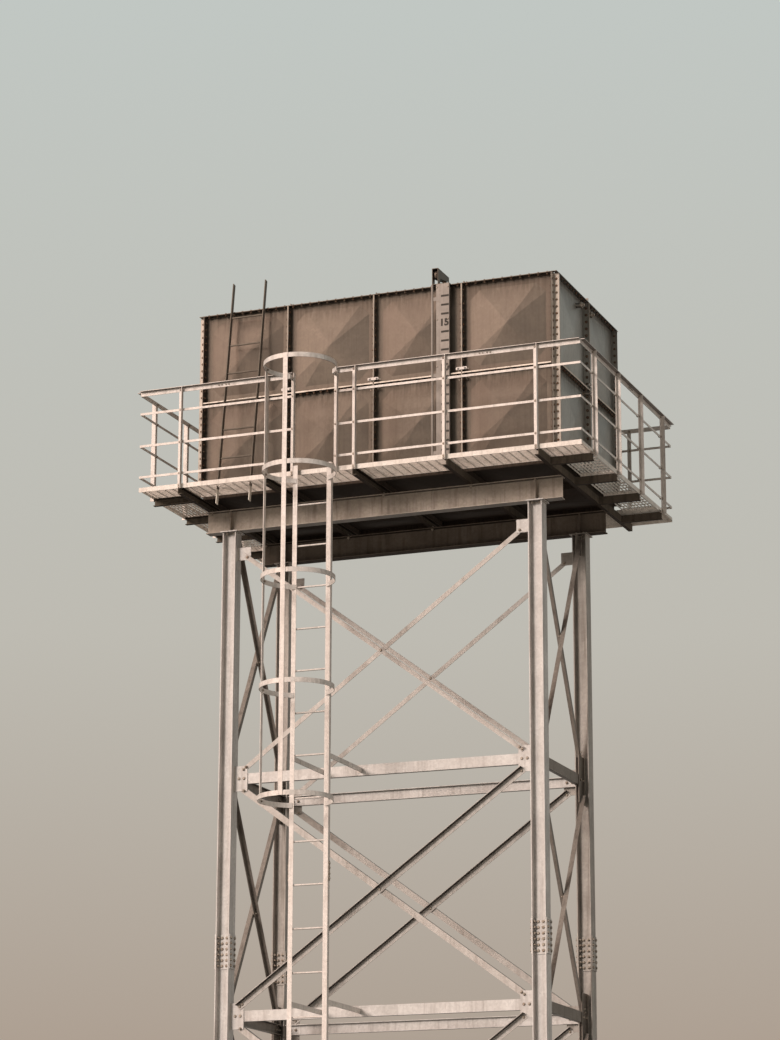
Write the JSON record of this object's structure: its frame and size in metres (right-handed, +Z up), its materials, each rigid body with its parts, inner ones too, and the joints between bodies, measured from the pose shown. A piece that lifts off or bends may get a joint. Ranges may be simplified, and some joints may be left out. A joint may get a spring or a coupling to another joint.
{
  "type": "water tower",
  "caption": "Elevated sectional steel water tank on a braced steel tower, with walkway, handrails, caged ladder, tank-side ladder and level gauge board.",
  "frame": {"origin": "on the ground, under the middle of the whole tower's bounding box", "axes": "+Z up, -Y is the long front side with the access ladder and gauge board, +X is to the right when facing that side"},
  "size_m": [5.0506, 4.0034, 12.8833],
  "materials": {
    "leg_steel": "weathered hot-dip galvanised",
    "bracing_steel": "weathered hot-dip galvanised",
    "beam_steel": "weathered hot-dip galvanised",
    "grating_steel": "weathered hot-dip galvanised bar grating",
    "tank_panel_steel": "dull zinc-coated pressed steel",
    "roof_steel": "dull zinc-coated sheet steel",
    "handrail_steel": "weathered hot-dip galvanised",
    "ladder_steel": "weathered hot-dip galvanised",
    "dark_ladder_steel": "dark weathered paint",
    "gauge_board_paint": "pale paint with dark tick marks and plain numbers",
    "gauge_hood_steel": "dark weathered sheet"
  },
  "bodies": {
    "root": {"access_ladder": "ladder_steel", "brace_1_back_falling": "bracing_steel", "brace_1_back_rising": "bracing_steel", "brace_1_front_falling": "bracing_steel", "brace_1_front_rising": "bracing_steel", "brace_2_back_falling": "bracing_steel", "brace_2_back_rising": "bracing_steel", "brace_2_front_falling": "bracing_steel", "brace_2_front_rising": "bracing_steel", "brace_3_back_falling": "bracing_steel", "brace_3_back_rising": "bracing_steel", "brace_3_front_falling": "bracing_steel", "brace_3_front_rising": "bracing_steel", "brace_4_back_falling": "bracing_steel", "brace_4_back_rising": "bracing_steel", "brace_4_front_falling": "bracing_steel", "brace_4_front_rising": "bracing_steel", "gauge_board": "gauge_board_paint", "gauge_hood": "gauge_hood_steel", "handrail_back": "handrail_steel", "handrail_front_left": "handrail_steel", "handrail_front_right": "handrail_steel", "handrail_left": "handrail_steel", "handrail_right": "handrail_steel", "joist_1": "beam_steel", "joist_2": "beam_steel", "joist_3": "beam_steel", "joist_4": "beam_steel", "joist_5": "beam_steel", "ladder_cage": "ladder_steel", "leg_back_left": "leg_steel", "leg_back_right": "leg_steel", "leg_front_left": "leg_steel", "leg_front_right": "leg_steel", "main_beam_back": "beam_steel", "main_beam_front": "beam_steel", "manhole_lid": "roof_steel", "ring_1_back": "bracing_steel", "ring_1_front": "bracing_steel", "ring_2_back": "bracing_steel", "ring_2_front": "bracing_steel", "ring_3_back": "bracing_steel", "ring_3_front": "bracing_steel", "side_bracing_left": "bracing_steel", "side_bracing_right": "bracing_steel", "tank_floor": "tank_panel_steel", "tank_ladder": "dark_ladder_steel", "tank_roof": "roof_steel", "tank_wall_back": "tank_panel_steel", "tank_wall_front": "tank_panel_steel", "tank_wall_left": "tank_panel_steel", "tank_wall_right": "tank_panel_steel", "walkway_back": "grating_steel", "walkway_front": "grating_steel", "walkway_left": "grating_steel", "walkway_right": "grating_steel"}
  },
  "joints": []
}
